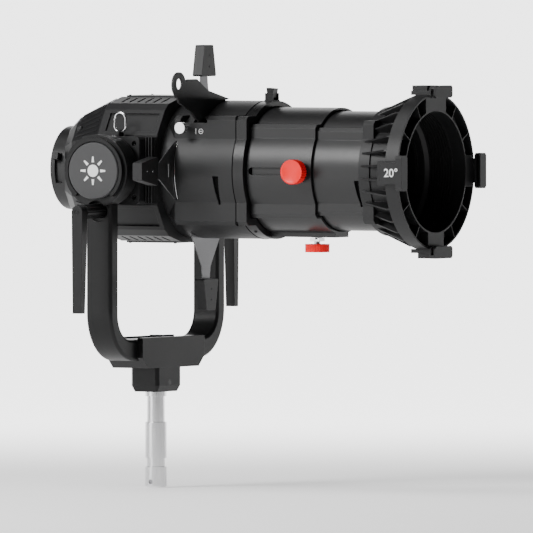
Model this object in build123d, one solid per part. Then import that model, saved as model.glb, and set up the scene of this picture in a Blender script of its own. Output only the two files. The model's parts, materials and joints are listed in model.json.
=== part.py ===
from build123d import *
import os
from math import cos, radians, sin, sqrt

os.makedirs("parts", exist_ok=True)

# Driving dimensions, millimetres. Every shape below is drawn about the tilt axis:
# X runs along the tilt axis, the lens looks along -Y, Z is up. The files are written
# with the origin on the spigot's axis, in the middle of its main land.
TILT_Z = 354.5

# Yoke and stand spigot
YOKE_INSIDE = 128.0
ARM_THICK = 20.0
YOKE_OUTSIDE = YOKE_INSIDE + ARM_THICK
BAR_DEPTH = 38.0
BAR_TOP = -221.0
BAR_BOTTOM = -249.0
OUTER_CORNER_R = 64.0
INNER_CORNER_R = 34.0
ARM_HEAD_R = 47.0
COVER_FACE = 155.0
CAP_FACE = 162.0
CAP_R = 37.0
RING_INNER_R = 38.2
RING_OUTER_R = 42.8
BUSH_R = 18.0
AXLE_R = 14.0
RUNNING_GAP = 0.05
FREE_GAP = 0.3

BRIDGE_HALF_X = 80.0
BRIDGE_HALF_Y = 27.0
BRIDGE_TOP = -219.0
BRIDGE_BOTTOM = -259.0
RECEIVER_X = 62.0
RECEIVER_Y = 42.0
RECEIVER_BOTTOM = -291.0
BOLT_R = 5.0

LAND_R = 14.3
NECK_R = 12.0
STUB_TOP = -272.0
COLLAR_END = -297.0
LAND_TOP = -331.0
LAND_END = -378.0
GROOVE_END = -389.2
SPIGOT_END = -416.5
SAFETY_HOLE_R = 3.0
SAFETY_HOLE_Z = -408.9

# Tilt levers
LEVER_Z = -52.7
LEVER_STUD_R = 5.0
LEVER_HUB_R = 9.5
SCOOP_R = 14.0
SCOOP_FLOOR = 142.0
LEVER_INSIDE = 190.0
LEVER_OUTSIDE = 203.0
LEVER_LENGTH = 132.0

# Condenser housing and its side plates
HOUSING_SECTION = [(34, 94), (66, 86), (76, 78), (96, 46)]
HOUSING_WALL = 4.0
HOUSING_FRONT = -58.0
HOUSING_BREAK = 32.0
HOUSING_STEPS = [(32.0, 1.0), (84.0, 0.77), (103.0, 0.62)]
SIDE_FACE = 96.0
PLATE_FACE = 118.0
PLATE_HALF = 44.0
PLATE_SCREW_Y = 36.0
PLATE_SCREW_Z = 34.7
SCREW_SEAT = 112.0
COLLAR_R = 54.7
COLLAR_BORE_R = 49.5
COLLAR_REAR = 128.0
COLLAR_FRONT = 103.0
TAB_ANGLE = 15.0
TAB_SWING = 30.0

# Gate housing, shutters and the drop-in pattern holder
GATE_R = 90.0
GATE_HALF_X = 80.0
GATE_HALF_Z = 71.0
GATE_WALL = 5.0
GATE_FRONT = -167.0
APERTURE_R = 40.0
BLADE_THICK = 1.2
BLADE_HALF = 37.0
BLADE_INNER = 42.0
BLADE_SHOULDER = 87.0
STEM_START = 127.0
STEM_HALF = 9.0
GRIP_START = 143.0
GRIP_LENGTH = 41.0
GRIP_THICK = 14.0
GRIP_REAR = 6.0
SLOT_GAP = 1.6
PATTERN_Y = -108.0
PATTERN_THICK = 3.0
PATTERN_ANGLE = 120.0
PATTERN_HALF = 36.0
OPENING_R = 60.0
INSIDE_R = 84.5
CELL_R = 53.0
CELL_BORE_R = 47.0
CELL_FLANGE_R = 58.0
CELL_REAR_R = 50.5
THUMB_Y = -94.0
THUMB_Z = 55.5
THUMB_R = 7.5
RECESS_DEPTH = 3.5

# Each shutter: its name, the turn about Y from straight up, and its own plane.
SHUTTERS = [("top", 0, -72.2), ("bottom", 180, -75.4), ("near", -90, -78.6), ("far", 90, -81.8)]
TOP_PUSHED_IN = 22.0

# Lens tubes
CLAMP_FRONT = -183.0
OUTER_FRONT = -280.0
OUTER_R = 82.0
OUTER_HALF_X = 70.0
OUTER_HALF_Z = 61.0
INNER_R = 77.7
INNER_HALF_X = 66.0
INNER_HALF_Z = 57.0
INNER_BORE_R = 73.5
INNER_REAR = -190.0
INNER_FRONT = -352.0
TUBE_GAP = 0.4
FOCUS_TRAVEL = 70.0
SIDE_KNOB_Y = -261.6
SIDE_KNOB_FACE = -101.0
KNOB_R = 16.0
KNOB_GROOVES = 30
STUD_R = 4.0
SLOT_HALF = 4.95
LATCH_Y = -175.0
LATCH_Z = 96.0
LATCH_PIN_R = 1.5
LOCK_KNOB_Y = -243.0
LOCK_KNOB_TOP = -95.5

# Hood and accessory holders
HOOD_R = 101.0
HOOD_MOUTH_R = 78.5
HOOD_RING_REAR = -401.0
HOOD_RING_FRONT = -420.0
HOLDER_FRONT = -432.0
CHANNEL_REAR = -425.5
CHANNEL_FRONT = -429.5
NECK_OUTSIDE_R = 82.0
RIB_COUNT = 32
RIB_THICK = 2.4
HINGE_Y = -420.5
HINGE_Z = 108.0
HINGE_PIN_R = 1.3


def outline_of(*points):
    """A closed outline that always faces the same way, whichever way its points run."""
    closed = list(points) + [points[0]]
    area = sum(a[0] * b[1] - b[0] * a[1] for a, b in zip(closed, closed[1:]))
    ordered = points if area > 0 else tuple(reversed(points))
    return Polygon(*ordered, align=None)


def along_y(section, rear, front):
    """A section drawn in X and Z, pushed from Y = rear forward to Y = front."""
    plane = Plane((0, rear, 0), x_dir=(1, 0, 0), z_dir=(0, -1, 0))
    return extrude(plane * section, amount=rear - front, dir=(0, -1, 0))


def along_x(section, start, end):
    """A section drawn in Y and Z, pushed from X = start to X = end."""
    plane = Plane((start, 0, 0), x_dir=(0, 1, 0), z_dir=(1, 0, 0))
    return extrude(plane * section, amount=end - start, dir=(1, 0, 0))


def up_z(section, bottom, top):
    """A section drawn in X and Y, pushed from Z = bottom to Z = top."""
    return Pos(0, 0, bottom) * extrude(section, amount=top - bottom, dir=(0, 0, 1))


def block(x0, x1, y0, y1, z0, z1):
    """A box between two opposite corners."""
    solid = Box(abs(x1 - x0), abs(y1 - y0), abs(z1 - z0))
    return Pos((x0 + x1) / 2, (y0 + y1) / 2, (z0 + z1) / 2) * solid


def barrel(radius, half_x, half_z):
    """A round section with a box section through it, as on both lens tubes."""
    corner = 5.0
    box = Rectangle(2 * half_x, 2 * half_z)
    return Circle(radius) + chamfer(box.vertices(), corner)


def spun(points):
    """A ring about the optical axis, from (radius, Y) points."""
    return revolve(Plane.XY * outline_of(*points), axis=Axis.Y)


def lens(rear, front, radius, bulge):
    """A lens with two equal round faces, thinner by bulge at its rim on each side."""
    ball = (radius**2 + bulge**2) / (2 * bulge)
    middle = ball - sqrt(ball**2 - radius**2 / 4)
    outline = ThreePointArc((0, rear), (radius / 2, rear - middle), (radius, rear - bulge))
    outline += Line((radius, rear - bulge), (radius, front + bulge))
    outline += ThreePointArc((radius, front + bulge), (radius / 2, front + middle), (0, front))
    outline += Line((0, front), (0, rear))
    return revolve(make_face(outline), axis=Axis.Y)


def write(name, shape):
    """One STEP file for each piece, moved to the spigot's origin."""
    export_step(Pos(0, 0, TILT_Z) * shape, f"parts/{name}.step")


# ---------------------------------------------------------------- yoke and spigot

def yoke_frame():
    """The U-shaped bar with a round head on each arm."""
    arm_top = -20.0
    edge_r = 4.0
    height = arm_top - BAR_BOTTOM
    outer = Pos(0, arm_top - height / 2) * Rectangle(2 * YOKE_OUTSIDE, height)
    outer = fillet(outer.vertices().group_by(Axis.Y)[0], OUTER_CORNER_R)
    gap = arm_top - BAR_TOP
    inner = Pos(0, arm_top - gap / 2) * Rectangle(2 * YOKE_INSIDE, gap)
    inner = fillet(inner.vertices().group_by(Axis.Y)[0], INNER_CORNER_R)
    frame = along_y(outer - inner, BAR_DEPTH / 2, -BAR_DEPTH / 2)
    sides = frame.edges().group_by(Axis.Y)
    frame = fillet(sides[0] + sides[-1], edge_r)
    for side in (-1, 1):
        frame += along_x(Circle(ARM_HEAD_R), side * YOKE_INSIDE, side * YOKE_OUTSIDE)
        frame -= along_x(Circle(BUSH_R), side * YOKE_INSIDE, side * YOKE_OUTSIDE)
        scoop = Pos(0, LEVER_Z) * Circle(SCOOP_R)
        frame -= along_x(scoop, side * SCOOP_FLOOR, side * YOKE_OUTSIDE)
        frame -= along_x(Pos(0, LEVER_Z) * Circle(LEVER_STUD_R), side * 134, side * SCOOP_FLOOR)
    return frame - up_z(Circle(BOLT_R), BAR_BOTTOM, BAR_TOP)


def yoke_bridge():
    """The block that cups the bottom bar and carries the spigot's receiver."""
    shoulder = -245.0
    foot = 65.0
    outline = [(-BRIDGE_HALF_X, BRIDGE_TOP), (-BRIDGE_HALF_X, shoulder), (-foot, BRIDGE_BOTTOM),
               (foot, BRIDGE_BOTTOM), (BRIDGE_HALF_X, shoulder), (BRIDGE_HALF_X, BRIDGE_TOP)]
    body = along_y(outline_of(*outline), BRIDGE_HALF_Y, -BRIDGE_HALF_Y)
    half = BAR_DEPTH / 2
    body -= block(-BRIDGE_HALF_X, BRIDGE_HALF_X, -half, half, BAR_BOTTOM, BRIDGE_TOP)
    return body - up_z(Circle(BOLT_R), BRIDGE_BOTTOM, BAR_BOTTOM)


def spigot_receiver():
    """The block under the bridge that holds the spigot's stub."""
    corner = 4.0
    foot = 8.0
    section = chamfer(Rectangle(RECEIVER_X, RECEIVER_Y).vertices(), corner)
    body = up_z(section, RECEIVER_BOTTOM, BRIDGE_BOTTOM)
    body = chamfer(body.edges().group_by(Axis.Z)[0], foot, corner)
    body -= up_z(Circle(NECK_R), RECEIVER_BOTTOM, STUB_TOP)
    body -= up_z(Circle(BOLT_R), STUB_TOP, BRIDGE_BOTTOM)
    return body - grub_screws()


def grub_screws():
    """Two screws that lock the stub, from the front and the back."""
    section = Pos(0, -278.5) * Circle(4)
    reach = NECK_R + 0.5
    rear = along_y(section, RECEIVER_Y / 2, reach)
    return rear + along_y(section, -reach, -RECEIVER_Y / 2)


def spigot():
    """The turned steel spigot with two lands, a groove and a safety hole."""
    chamfer_size = 2.5
    steps = [(NECK_R, RECEIVER_BOTTOM, STUB_TOP), (LAND_R, COLLAR_END, RECEIVER_BOTTOM),
             (NECK_R, LAND_TOP, COLLAR_END), (LAND_R, LAND_END, LAND_TOP),
             (NECK_R, GROOVE_END, LAND_END)]
    pin = up_z(Circle(LAND_R), SPIGOT_END, GROOVE_END)
    pin = chamfer(pin.edges().group_by(Axis.Z)[0], chamfer_size)
    for radius, bottom, top in steps:
        pin += up_z(Circle(radius), bottom, top)
    hole = along_x(Pos(0, SAFETY_HOLE_Z) * Circle(SAFETY_HOLE_R), -LAND_R, LAND_R)
    return pin - hole


def yoke_bolt():
    """The bolt down through the bar and the bridge into the receiver."""
    head_r = 8.5
    head = 4.0
    return up_z(Circle(BOLT_R), STUB_TOP + 4, BAR_TOP) + up_z(Circle(head_r), BAR_TOP, BAR_TOP + head)


def arm_cover(side):
    """The round cover on an arm head, with an open ring around its cap."""
    hollow_r = 24.0
    hollow_face = 152.0
    cover = along_x(Circle(ARM_HEAD_R), side * YOKE_OUTSIDE, side * COVER_FACE)
    cover += along_x(Circle(RING_OUTER_R) - Circle(RING_INNER_R), side * COVER_FACE, side * (CAP_FACE - 1))
    cover -= along_x(Circle(hollow_r), side * YOKE_OUTSIDE, side * hollow_face)
    cover -= along_x(Pos(0, LEVER_Z) * Circle(SCOOP_R), side * YOKE_OUTSIDE, side * CAP_FACE)
    opening = outline_of((0, 0), (-50, -60), (50, -60))
    return cover - along_x(opening, side * COVER_FACE, side * CAP_FACE)


def arm_cap(side):
    """The flat disc in the middle of an arm cover."""
    edge = 1.0
    cap = along_x(Circle(CAP_R), side * COVER_FACE, side * CAP_FACE)
    rim = cap.edges().group_by(Axis.X)[-1 if side > 0 else 0]
    return chamfer(rim, edge)


def arm_bush(side):
    """The plain bearing in an arm head."""
    ring = Circle(BUSH_R) - Circle(AXLE_R + RUNNING_GAP)
    return along_x(ring, side * YOKE_INSIDE, side * YOKE_OUTSIDE)


def friction_washer(side):
    """The washer between an arm and the side plate."""
    ring = Circle(40) - Circle(AXLE_R + FREE_GAP)
    return along_x(ring, side * (PLATE_FACE + FREE_GAP), side * YOKE_INSIDE)


def lever_stud(side):
    """The fixed stud that a tilt lever's hub turns on."""
    return along_x(Pos(0, LEVER_Z) * Circle(LEVER_STUD_R), side * 134, side * 178)


# ---------------------------------------------------------------- tilt levers

def lever_hub(side):
    """The ribbed round hub of a tilt lever."""
    ribs = 12
    section = Circle(LEVER_HUB_R)
    for turn in range(ribs):
        section -= Rot(0, 0, 360 / ribs * turn) * Pos(LEVER_HUB_R + 0.3, 0) * Circle(1.0)
    hub = along_x(Pos(0, LEVER_Z) * section, side * (SCOOP_FLOOR + FREE_GAP), side * LEVER_INSIDE)
    bore = Pos(0, LEVER_Z) * Circle(LEVER_STUD_R + RUNNING_GAP)
    return hub - along_x(bore, side * SCOOP_FLOOR, side * 179)


def lever_bar(side):
    """The long tapered handle of a tilt lever, hanging down."""
    top_r = 8.0
    end_half = 6.5
    foot = LEVER_Z - LEVER_LENGTH
    taper = outline_of((-top_r, LEVER_Z), (-end_half, foot), (end_half, foot), (top_r, LEVER_Z))
    bar = along_x(taper + Pos(0, LEVER_Z) * Circle(top_r), side * LEVER_INSIDE, side * LEVER_OUTSIDE)
    wedge = outline_of((LEVER_INSIDE, -90), (LEVER_INSIDE + 3.5, foot), (LEVER_INSIDE, foot))
    wedge = along_y(wedge, top_r, -top_r)
    bar -= wedge if side > 0 else mirror(wedge, about=Plane.YZ)
    head = Circle(3.6) - RegularPolygon(1.8, 6)
    return bar - along_x(Pos(0, LEVER_Z) * head, side * (LEVER_OUTSIDE - 0.8), side * LEVER_OUTSIDE)


# ---------------------------------------------------------------- condenser housing

def housing_section(scale=1.0):
    """The faceted section of the condenser housing."""
    half = [(x * scale, z * scale) for x, z in HOUSING_SECTION]
    right = half + [(x, -z) for x, z in reversed(half)]
    left = [(-x, -z) for x, z in right]
    return outline_of(*right, *left)


def housing_form(inset):
    """The housing's outer form, or its inner one when inset by the wall."""
    faces = []
    for y, scale in HOUSING_STEPS:
        plane = Plane((0, y, 0), x_dir=(1, 0, 0), z_dir=(0, -1, 0))
        section = housing_section(scale)
        if inset:
            section = offset(section, amount=-inset, kind=Kind.INTERSECTION)
        faces.append(plane * section)
    rear = loft(faces, ruled=True)
    section = housing_section()
    if inset:
        section = offset(section, amount=-inset, kind=Kind.INTERSECTION)
    return rear + along_y(section, HOUSING_BREAK, HOUSING_FRONT)


def condenser_housing():
    """The faceted casting behind the shutters, with vents above and below."""
    body = housing_form(0)
    cavity = housing_form(HOUSING_WALL)
    cavity &= block(-120, 120, HOUSING_FRONT + HOUSING_WALL, COLLAR_FRONT - HOUSING_WALL, -120, 120)
    body -= cavity
    body -= along_y(Circle(OPENING_R), HOUSING_FRONT + HOUSING_WALL, HOUSING_FRONT)
    body -= along_y(Circle(COLLAR_BORE_R), COLLAR_FRONT, COLLAR_FRONT - HOUSING_WALL)
    for side in (-1, 1):
        for end in (-1, 1):
            panel = Pos(side * 86, -15, end * 62) * Rot(0, -32 * side * end, 0) * Box(5, 74, 27)
            body -= panel
            body -= vent_slots(side, end)
        body -= along_x(Circle(AXLE_R), side * (SIDE_FACE - HOUSING_WALL), side * SIDE_FACE)
        body -= block(-27, 27, -44, 20, side * 88, side * 96)
    return body


def vent_slots(side, end):
    """Slots through one sloping top or bottom facet."""
    slots = Part()
    for index in range(6):
        y = 16 - 12 * index
        slots += Pos(side * 50, y, end * 90) * Rot(0, 14 * side * end, 0) * Box(22, 3.4, 14)
    return slots


def vent_plate(end):
    """A slotted plate over the opening in the housing's top or bottom."""
    plate = block(-31, 31, -50, 26, end * 94, end * 96)
    for row in range(5):
        for column in (-1, 1):
            plate -= block(column * 4, column * 24, -42 + 14 * row, -38 + 14 * row, end * 93, end * 97)
    return plate


def side_plate(side):
    """The square plate that carries the tilt axle."""
    corner = 6.0
    section = fillet(Rectangle(2 * PLATE_HALF, 2 * PLATE_HALF).vertices(), corner) - Circle(AXLE_R)
    plate = along_x(section, side * SIDE_FACE, side * PLATE_FACE)
    for y in (-PLATE_SCREW_Y, PLATE_SCREW_Y):
        for z in (-PLATE_SCREW_Z, PLATE_SCREW_Z):
            plate -= along_x(Pos(y, z) * Circle(3.6), side * SCREW_SEAT, side * PLATE_FACE)
    return plate


def plate_screws():
    """Eight countersunk screws in the two side plates."""
    screws = Part()
    for side in (-1, 1):
        for y in (-PLATE_SCREW_Y, PLATE_SCREW_Y):
            for z in (-PLATE_SCREW_Z, PLATE_SCREW_Z):
                head = Pos(y, z) * (Circle(3.55) - RegularPolygon(1.6, 6))
                screws += along_x(head, side * SCREW_SEAT, side * (SCREW_SEAT + 2.5))
    return screws


def tilt_axle(side):
    """The trunnion pin, from the housing wall into the arm's bush."""
    return along_x(Circle(AXLE_R), side * (SIDE_FACE - HOUSING_WALL), side * (YOKE_OUTSIDE + 0.2))


def axle_retainer(side):
    """The disc on the axle's end, hidden by the arm cover."""
    return along_x(Circle(20), side * (YOKE_OUTSIDE + 0.2), side * (YOKE_OUTSIDE + 3.2))


def fin_block(side):
    """The upright cooling fins in front of a side plate."""
    base = block(side * SIDE_FACE, side * 100, -57.5, -44.5, -43, 43)
    for index in range(3):
        y = -46.5 - 4.2 * index
        base += block(side * 100, side * 107, y - 1.6, y, -43, 43)
    return base


def rear_collar():
    """The round collar that a lamp head's bayonet enters, with a window for its lock."""
    ring = along_y(Circle(COLLAR_R) - Circle(COLLAR_BORE_R), COLLAR_REAR, COLLAR_FRONT)
    start = 180 - TAB_ANGLE - 6
    window = [(0, 0)]
    for step in range(4):
        angle = radians(start + (TAB_SWING + 12) / 3 * step)
        window.append((70 * cos(angle), 70 * sin(angle)))
    return ring - along_y(outline_of(*window) - Circle(COLLAR_BORE_R + 1), 121.5, 111.5)


def lamp_lock():
    """The small lever through the collar's window."""
    section = Pos(-57.7, 0) * Rectangle(14, 9)
    return along_y(Rot(0, 0, -TAB_ANGLE) * section, 121, 112)


def condenser_cell():
    """The tube that holds both condenser lenses, behind the gate."""
    tube = along_y(Circle(CELL_R) - Circle(CELL_BORE_R), 99, -20)
    tube -= along_y(Circle(CELL_REAR_R), 99, 95)
    return tube + along_y(Circle(CELL_FLANGE_R) - Circle(CELL_BORE_R), -14, -20)


def lifting_ring():
    """The chrome safety ring that stands on the near side plate."""
    wire = 1.6
    half = 8.0
    low = 57.5
    high = 66.5
    bow = Pos(-107, -9, high) * Rot(0, 90, 0) * Torus(half, wire)
    foot = Pos(-107, -9, low) * Rot(0, 90, 0) * Torus(half, wire)
    ring = bow & block(-115, -100, -30, 10, high, 80)
    ring += foot & block(-115, -100, -30, 10, 40, low)
    for end in (-1, 1):
        ring += Pos(-107, -9 + end * half, (low + high) / 2) * Cylinder(wire, high - low)
    return ring


def ring_eye():
    """The lug that the safety ring turns in."""
    lug = block(-113, -101, -10.5, -7.5, PLATE_HALF, 52.5)
    hole = Pos(-107, -9, 49.5) * Rot(90, 0, 0) * Cylinder(2.0, 20)
    return lug - hole


# ---------------------------------------------------------------- gate housing

def gate_housing():
    """The casting round the shutters: a round shell with a box shell through it."""
    rear = Plane((0, HOUSING_FRONT, 0), x_dir=(1, 0, 0), z_dir=(0, -1, 0))
    break_y = -75.0
    full = Plane((0, break_y, 0), x_dir=(1, 0, 0), z_dir=(0, -1, 0))
    box = chamfer(Rectangle(2 * GATE_HALF_X, 2 * GATE_HALF_Z).vertices(), 5)
    small = chamfer(Rectangle(2 * GATE_HALF_X - 24, 2 * GATE_HALF_Z - 24).vertices(), 5)
    body = along_y(Circle(GATE_R), HOUSING_FRONT, GATE_FRONT)
    body += loft([rear * small, full * box], ruled=True)
    body += along_y(box, break_y, GATE_FRONT)
    wall = GATE_WALL
    body -= along_y(Circle(OPENING_R), HOUSING_FRONT, HOUSING_FRONT - wall)
    body -= along_y(Circle(GATE_R - wall), HOUSING_FRONT - wall, GATE_FRONT)
    inner = chamfer(Rectangle(2 * GATE_HALF_X - 2 * wall, 2 * GATE_HALF_Z - 2 * wall).vertices(), 4)
    body -= along_y(inner, -95, GATE_FRONT)
    for _, turn, y in SHUTTERS:
        slot = block(-BLADE_HALF - 1, BLADE_HALF + 1, y - SLOT_GAP, y + SLOT_GAP, 60, 100)
        body -= Rot(0, turn, 0) * slot
    body -= pattern_frame(block(-PATTERN_HALF - 1, PATTERN_HALF + 1, PATTERN_Y - PATTERN_THICK - 0.6,
                                PATTERN_Y + 0.6, 50, 125))
    notch = block(-92, -52, -124, -84, 62, 80)
    body -= notch - along_y(Circle(GATE_R), -80, -130)
    recess = outline_of((-137, -7), (-146, -7), (-144, -44), (-141, -44))
    body -= side_recesses(recess, GATE_R, GATE_HALF_X)
    return body


def side_recesses(outline, radius, half_x):
    """A shallow pocket in each side of a barrel, as deep all over as its surface runs."""
    pockets = Part()
    for side in (-1, 1):
        pockets += along_x(outline, side * (half_x - RECESS_DEPTH), side * (radius + 5))
    return pockets - along_y(Circle(radius - RECESS_DEPTH), 0, -400)


def pattern_frame(solid):
    """Turns a solid drawn pointing up to the direction that the pattern holder leaves in."""
    return Rot(0, 90 - PATTERN_ANGLE, 0) * solid


def gate_plate(rear):
    """A plate with the round gate in it."""
    return along_y(Circle(INSIDE_R) - Circle(APERTURE_R), rear, rear - 3)


def gate_posts():
    """Four posts between the gate plates, clear of the shutters."""
    posts = Part()
    for turn in (45, 135, 225, 315):
        posts += along_y(Rot(0, 0, turn) * Pos(72, 0) * Circle(4), -70, -84.5)
    return posts


def pattern_guide():
    """The ring in front of the drop-in holder."""
    return along_y(Circle(INSIDE_R) - Circle(46), -112.2, -115.2)


def pattern_holder():
    """The drop-in plate: a frame for the pattern, with a finger ear and a stop outside."""
    frame = block(-PATTERN_HALF, PATTERN_HALF, PATTERN_Y - PATTERN_THICK, PATTERN_Y, -42, 100)
    frame -= along_y(Circle(33), PATTERN_Y, PATTERN_Y - PATTERN_THICK)
    corner = outline_of((4, 91.5), (-56, 104), (-56, 130), (40, 130), (40, 91.5))
    frame = pattern_frame(frame) - along_y(corner, PATTERN_Y + 1, PATTERN_Y - PATTERN_THICK - 1)
    top = [(1, 92), (-56, 104), (-83.5, 119), (-107, 119), (-126, 103), (-130, 89), (-97, 76), (-84, 66),
           (-66, 62.5), (-63, 66.5)]
    arc = []
    for step in range(1, 5):
        angle = radians(133 - 9 * step)
        arc.append((91.2 * cos(angle), 91.2 * sin(angle)))
    fan = along_y(outline_of(*top, *arc), PATTERN_Y, PATTERN_Y - PATTERN_THICK)
    ear_section = Pos(-129, 112) * Circle(16.5)
    ear_section += outline_of((-145.5, 111), (-129, 88), (-104, 94), (-113, 117))
    ear = along_y(ear_section, PATTERN_Y, PATTERN_Y - PATTERN_THICK)
    holder = frame + fan + ear
    return holder - along_y(Pos(-129, 113) * Circle(7.5), PATTERN_Y, PATTERN_Y - PATTERN_THICK)


def pattern_lock_knob():
    """The chrome thumb knob that holds the drop-in plate."""
    ribs = 20
    section = Circle(THUMB_R)
    for turn in range(ribs):
        section -= Rot(0, 0, 360 / ribs * turn) * Pos(THUMB_R + 0.1, 0) * Circle(0.4)
    knob = along_x(Pos(THUMB_Y, THUMB_Z) * section, -92, -100)
    stem = Pos(THUMB_Y, THUMB_Z) * Circle(3)
    return knob + along_x(stem, -92, -GATE_HALF_X - 0.3)


def holder_screw():
    """The chrome screw at the foot of the drop-in holder."""
    screw = Pos(-63.9, -117, 66.9) * Rot(0, -43.7, 0) * Cylinder(4, 5)
    return screw - along_y(Circle(GATE_R), -100, -130)


def shutter_blade(turn, y, pushed):
    """A steel shutter blade with its tapered stem."""
    half = BLADE_HALF
    outline = [(-half, BLADE_INNER), (half, BLADE_INNER), (half, BLADE_SHOULDER), (STEM_HALF + 2, STEM_START),
               (STEM_HALF, GRIP_START), (STEM_HALF, GRIP_START + 12), (-STEM_HALF, GRIP_START + 12),
               (-STEM_HALF, GRIP_START), (-STEM_HALF - 2, STEM_START), (-half, BLADE_SHOULDER)]
    outline = [(x, z - pushed) for x, z in outline]
    rear = y + BLADE_THICK / 2
    blade = along_y(outline_of(*outline), rear, rear - BLADE_THICK)
    return Rot(0, turn, 0) * blade


def shutter_grip(turn, y, pushed):
    """The moulded grip on a shutter's stem, wider towards the housing."""
    inner = GRIP_START - pushed
    outer = inner + GRIP_LENGTH
    outline = outline_of((-18.5, inner + 2), (-17, inner), (17, inner), (18.5, inner + 2), (11.5, outer - 1.5),
                      (10, outer), (-10, outer), (-11.5, outer - 1.5))
    rear = y + GRIP_REAR
    grip = along_y(outline, rear, rear - GRIP_THICK)
    for z in (inner + 13, inner + 27):
        grip -= along_y(Pos(0, z) * Circle(1.5), rear - GRIP_THICK + 1, rear - GRIP_THICK)
    grip -= block(-STEM_HALF, STEM_HALF, y - BLADE_THICK / 2, y + BLADE_THICK / 2, inner, inner + 12)
    return Rot(0, turn, 0) * grip


# ---------------------------------------------------------------- lens clamp and outer tube

def clamp_ring():
    """The ring that joins the lens tube to the gate housing."""
    ring = barrel(GATE_R, GATE_HALF_X, GATE_HALF_Z)
    bore = barrel(INNER_R + TUBE_GAP, INNER_HALF_X + TUBE_GAP, INNER_HALF_Z + TUBE_GAP)
    return along_y(ring - bore, GATE_FRONT, CLAMP_FRONT)


def latch_base():
    """Two cheeks for the release latch on the clamp ring."""
    base = block(-8, 8, -182, -168, 88, 91) - along_y(Circle(GATE_R), -160, -190)
    for side in (-1, 1):
        base += block(side * 6.2, side * 8, -181, -169, 90.5, 100)
    return base - along_x(Pos(LATCH_Y, LATCH_Z) * Circle(LATCH_PIN_R), -9, 9)


def latch_pin():
    """The pin through the release latch."""
    return along_x(Pos(LATCH_Y, LATCH_Z) * Circle(LATCH_PIN_R), -8, 8)


def lens_latch():
    """The release latch that locks the lens tube."""
    pivot = Pos(LATCH_Y, LATCH_Z)
    outline = outline_of((-179, LATCH_Z), (-181, 106), (-170, 107), (-171, LATCH_Z)) + pivot * Circle(4)
    return along_x(outline - pivot * Circle(LATCH_PIN_R + RUNNING_GAP), -5.9, 5.9)


def outer_tube():
    """The fixed lens tube, slotted along its side for the focus stud."""
    section = barrel(OUTER_R, OUTER_HALF_X, OUTER_HALF_Z)
    bore = barrel(INNER_R + TUBE_GAP, INNER_HALF_X + TUBE_GAP, INNER_HALF_Z + TUBE_GAP)
    tube = along_y(section - bore, CLAMP_FRONT, OUTER_FRONT)
    half = SLOT_HALF
    rear = SIDE_KNOB_Y + FOCUS_TRAVEL + half
    slot = block(-90, -70, rear - half, SIDE_KNOB_Y - half, -half, half)
    slot += along_x(Pos(rear - half, 0) * Circle(half), -90, -70)
    slot += along_x(Pos(SIDE_KNOB_Y - half, 0) * Circle(half), -90, -70)
    return tube - slot


def focus_rail():
    """The flat strip under the outer tube that the lock knob screws through."""
    rail = block(-17, 17, OUTER_FRONT, CLAMP_FRONT, -86.5, -76) - along_y(Circle(OUTER_R), -170, -290)
    return rail - up_z(Pos(0, LOCK_KNOB_Y) * Circle(STUD_R), -90, -70)


def lock_stud():
    """The chrome stud under the rail, with its square clip."""
    stud = up_z(Pos(0, LOCK_KNOB_Y) * Circle(STUD_R), -103, -82.3)
    clip = block(-7, 7, LOCK_KNOB_Y - 7, LOCK_KNOB_Y + 7, -92, -87.5)
    clip += block(-10, 10, LOCK_KNOB_Y - 2.5, LOCK_KNOB_Y + 2.5, -89.5, -86.5)
    return stud + clip


def ribbed(radius, ribs, depth):
    """A round section with grooves round its rim."""
    section = Circle(radius)
    for turn in range(ribs):
        section -= Rot(0, 0, 360 / ribs * turn) * Pos(radius + 0.2, 0) * Circle(depth)
    return section


def lock_knob():
    """The red knurled knob under the tube."""
    rim = Pos(0, LOCK_KNOB_Y) * ribbed(KNOB_R, KNOB_GROOVES, 0.9)
    knob = up_z(rim, LOCK_KNOB_TOP - 10.7, LOCK_KNOB_TOP)
    return knob - up_z(Pos(0, LOCK_KNOB_Y) * Circle(STUD_R + RUNNING_GAP), -103.3, LOCK_KNOB_TOP)


# ---------------------------------------------------------------- focusing tube

def inner_tube():
    """The tube that slides in the outer one and carries the lenses and the hood."""
    section = barrel(INNER_R, INNER_HALF_X, INNER_HALF_Z)
    tube = along_y(section - Circle(INNER_BORE_R), INNER_REAR, INNER_FRONT)
    recess = outline_of((-341.5, -11), (-350, -11), (-348.5, -45), (-345.5, -45))
    tube -= side_recesses(recess, INNER_R, INNER_HALF_X)
    return tube - along_x(Pos(SIDE_KNOB_Y, 0) * Circle(STUD_R), -80, -74.5)


def focus_stud():
    """The stud and collar that carry the side knob through the slot."""
    stud = along_x(Pos(SIDE_KNOB_Y, 0) * Circle(STUD_R), -74.5, -95)
    return stud + along_x(Pos(SIDE_KNOB_Y, 0) * Circle(9), -82.5, -88)


def focus_knob():
    """The red side knob with a dished face."""
    knob = along_x(Pos(SIDE_KNOB_Y, 0) * ribbed(KNOB_R, KNOB_GROOVES, 0.9), -88.3, SIDE_KNOB_FACE)
    deep = SIDE_KNOB_FACE + 1.8
    dish = ThreePointArc((deep, 0), (SIDE_KNOB_FACE + 1.35, 7), (SIDE_KNOB_FACE, 14))
    dish += Line((SIDE_KNOB_FACE, 14), (SIDE_KNOB_FACE - 1, 14))
    dish += Line((SIDE_KNOB_FACE - 1, 14), (SIDE_KNOB_FACE - 1, 0))
    dish += Line((SIDE_KNOB_FACE - 1, 0), (deep, 0))
    knob -= Pos(0, SIDE_KNOB_Y, 0) * revolve(make_face(dish), axis=Axis.X)
    return knob - along_x(Pos(SIDE_KNOB_Y, 0) * Circle(STUD_R + RUNNING_GAP), -88, -95.3)


def lens_ring(rear, front, lip):
    """A ring that clamps a lens in the focusing tube."""
    return along_y(Circle(INNER_BORE_R) - Circle(lip), rear, front)


# ---------------------------------------------------------------- hood

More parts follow.
